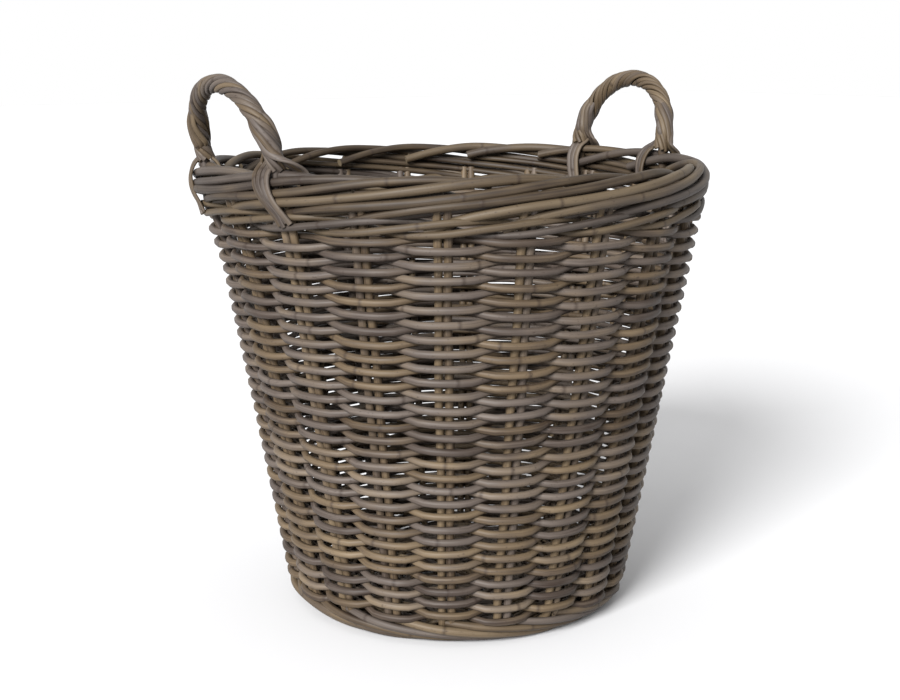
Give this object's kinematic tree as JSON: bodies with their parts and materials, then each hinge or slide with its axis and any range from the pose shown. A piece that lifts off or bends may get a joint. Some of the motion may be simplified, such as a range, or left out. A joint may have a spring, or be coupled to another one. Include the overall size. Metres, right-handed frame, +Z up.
{
  "type": "log basket",
  "caption": "Tapered round log basket of woven rattan on paired stakes, with a rolled rim, a rolled foot and two roped hoop handles.",
  "frame": {"origin": "centre of the foot ring, on the plane that the basket stands on", "axes": "+Z up through the mouth; +X out through the right handle; +Y to the back"},
  "size_m": [0.508, 0.5, 0.5355],
  "materials": {
    "stake": "round rattan rod, golden tan, satin, unlacquered",
    "side_weaver": "round grey-brown rattan cane, satin, mixed purple-grey and tan",
    "wale_rod": "round grey-brown rattan rod, satin",
    "border_rod": "thick round rattan rod, grey-tan, satin, with growth nodes",
    "foot_rod": "round rattan rod, darker, satin",
    "base_stick": "squared rattan stick, dull",
    "base_weaver": "thin round rattan cane, dull",
    "handle_core": "thick bent rattan rod, hidden under its wrapping",
    "handle_wrap": "flat split rattan strands, twisted round the hoop, satin",
    "lashing": "flat split rattan strands laid side by side, satin"
  },
  "bodies": {
    "root": {"base_sticks_lower": "base_stick", "base_sticks_upper": "base_stick", "base_weave_under": "base_weaver", "base_weave_over": "base_weaver", "foot_rod_inner": "foot_rod", "foot_rod_low": "foot_rod", "foot_rod_outer": "foot_rod", "foot_rod_upper": "foot_rod", "top_wale_outer": "wale_rod", "top_wale_inner": "wale_rod", "border_outer_low": "border_rod", "border_outer_high": "border_rod", "border_crown": "border_rod", "border_inner_high": "border_rod", "border_inner_low": "border_rod", "stake_pair_01": "stake", "stake_pair_02": "stake", "stake_pair_03": "stake", "stake_pair_04": "stake", "stake_pair_05": "stake", "stake_pair_06": "stake", "stake_pair_07": "stake", "stake_pair_08": "stake", "stake_pair_09": "stake", "stake_pair_10": "stake", "stake_pair_11": "stake", "stake_pair_12": "stake", "stake_pair_13": "stake", "stake_pair_14": "stake", "stake_pair_15": "stake", "stake_pair_16": "stake", "stake_pair_17": "stake", "stake_pair_18": "stake", "stake_pair_19": "stake", "stake_pair_20": "stake", "weave_course_01": "side_weaver", "weave_course_02": "side_weaver", "weave_course_03": "side_weaver", "weave_course_04": "side_weaver", "weave_course_05": "side_weaver", "weave_course_06": "side_weaver", "weave_course_07": "side_weaver", "weave_course_08": "side_weaver", "weave_course_09": "side_weaver", "weave_course_10": "side_weaver", "right_handle_core": "handle_core", "right_handle_wrap": "handle_wrap", "right_front_lashing": "lashing", "right_rear_lashing": "lashing", "left_handle_core": "handle_core", "left_handle_wrap": "handle_wrap", "left_front_lashing": "lashing", "left_rear_lashing": "lashing"}
  },
  "joints": []
}
